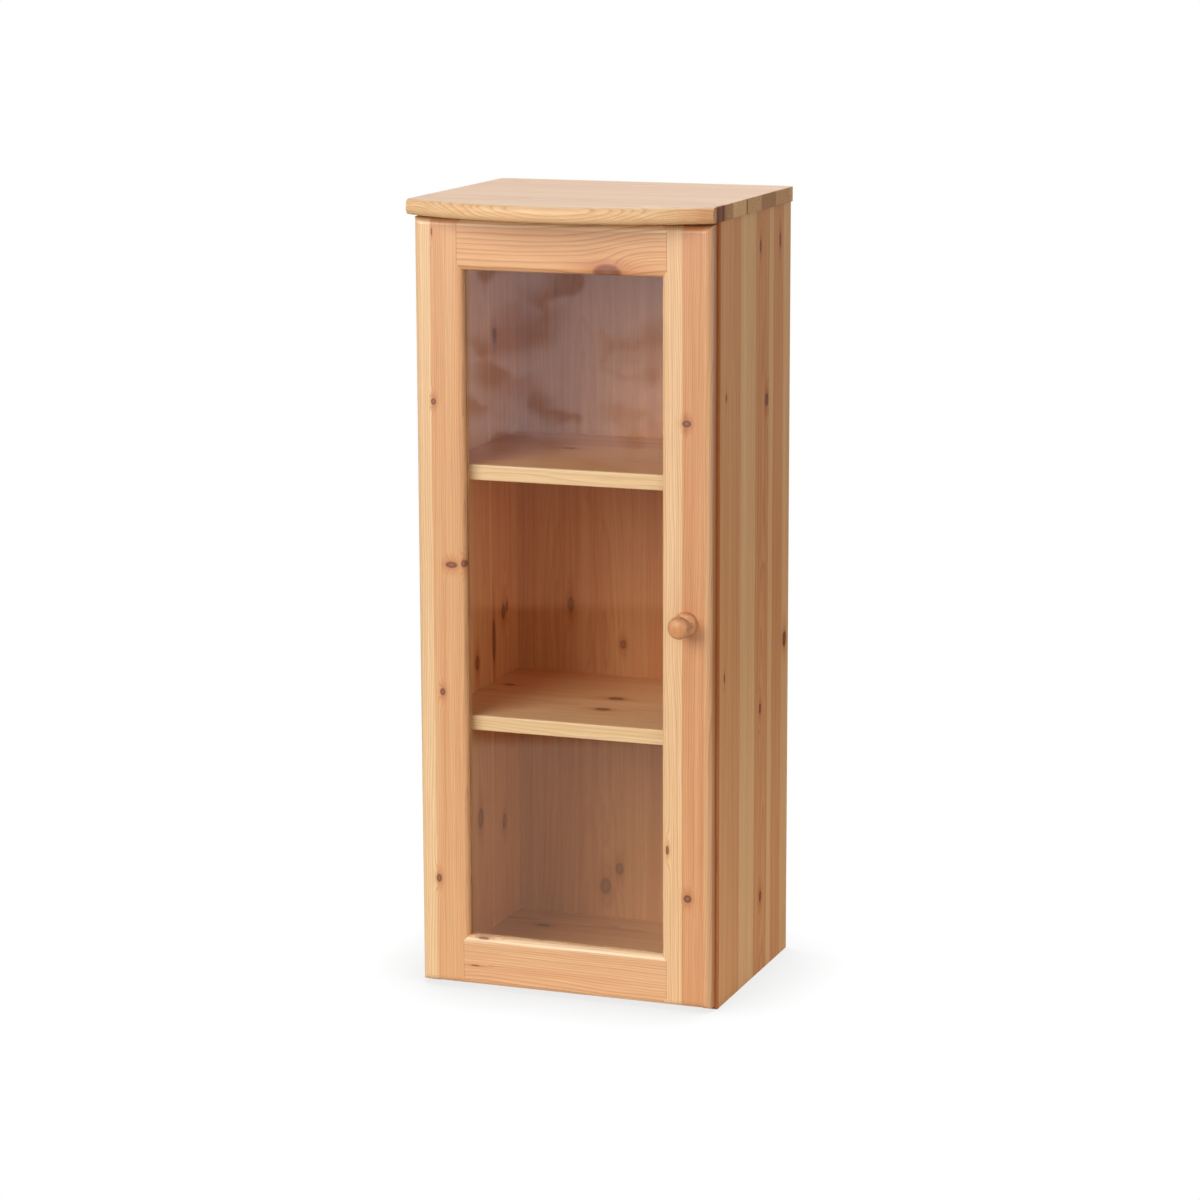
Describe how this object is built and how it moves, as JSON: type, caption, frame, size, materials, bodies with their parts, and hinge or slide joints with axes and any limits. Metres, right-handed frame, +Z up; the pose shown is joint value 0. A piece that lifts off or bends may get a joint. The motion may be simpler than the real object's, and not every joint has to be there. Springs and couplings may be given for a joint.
{
  "type": "glass wall cabinet",
  "caption": "Tall narrow pine wall cabinet with a bowed top, a framed glass door on side hinges with a turned knob, and inner shelves for display.",
  "frame": {"origin": "centre of the underside of the carcass, halfway between its front edge and its back", "axes": "+X to the right seen from the front, +Y towards the wall, +Z up"},
  "size_m": [0.404, 0.3799, 1.02],
  "materials": {
    "pine_side": "clear satin lacquer on glued knotty pine board",
    "pine_top": "clear satin lacquer on glued knotty pine board",
    "pine_inside": "clear satin lacquer on glued knotty pine board",
    "pine_frame": "clear satin lacquer on solid knotty pine",
    "pine_bead": "clear satin lacquer on planed pine strip",
    "beech_dowel": "bare fluted beech",
    "turned_knob": "clear satin lacquer on turned wood",
    "window_glass": "clear polished float glass",
    "brassed_hinge": "brass-plated steel, satin",
    "bright_steel": "zinc-plated steel",
    "catch_plastic": "moulded plastic, fine grain",
    "ferrite": "sintered magnet, dull",
    "clear_pad": "soft translucent pad"
  },
  "bodies": {
    "cabinet": {"left_side": "pine_side", "right_side": "pine_side", "top_board": "pine_top", "bottom_board": "pine_inside", "back_panel": "pine_inside", "hanging_rail": "pine_inside", "shelf_upper": "pine_inside", "shelf_lower": "pine_inside", "shelf_supports_upper": "bright_steel", "shelf_supports_lower": "bright_steel", "top_dowels": "beech_dowel", "bottom_dowels": "beech_dowel", "rail_dowels": "beech_dowel", "back_nails": "bright_steel", "side_leaf_lower": "brassed_hinge", "side_leaf_upper": "brassed_hinge", "hinge_pin_lower": "brassed_hinge", "hinge_pin_upper": "brassed_hinge", "side_leaf_screws": "brassed_hinge", "catch_housing": "catch_plastic", "catch_magnet": "ferrite", "catch_plates": "bright_steel", "catch_screws": "bright_steel", "door_bumpers": "clear_pad"},
    "door": {"left_stile": "pine_frame", "right_stile": "pine_frame", "top_rail": "pine_frame", "bottom_rail": "pine_frame", "door_dowels": "beech_dowel", "glass_pane": "window_glass", "glazing_brads": "bright_steel", "door_leaf_lower": "brassed_hinge", "door_leaf_upper": "brassed_hinge", "door_leaf_screws": "brassed_hinge", "knob": "turned_knob", "knob_screw": "bright_steel", "strike_plate": "bright_steel", "strike_screws": "bright_steel", "bead_left": "pine_bead", "bead_top": "pine_bead", "bead_right": "pine_bead", "bead_bottom": "pine_bead"}
  },
  "joints": [
    {"name": "door_hinge", "type": "hinge", "parent": "cabinet", "child": "door", "pos_m": [-0.199, -0.1465, 0.5], "axis": [0, 0, -1], "range_deg": [0, 170]}
  ]
}
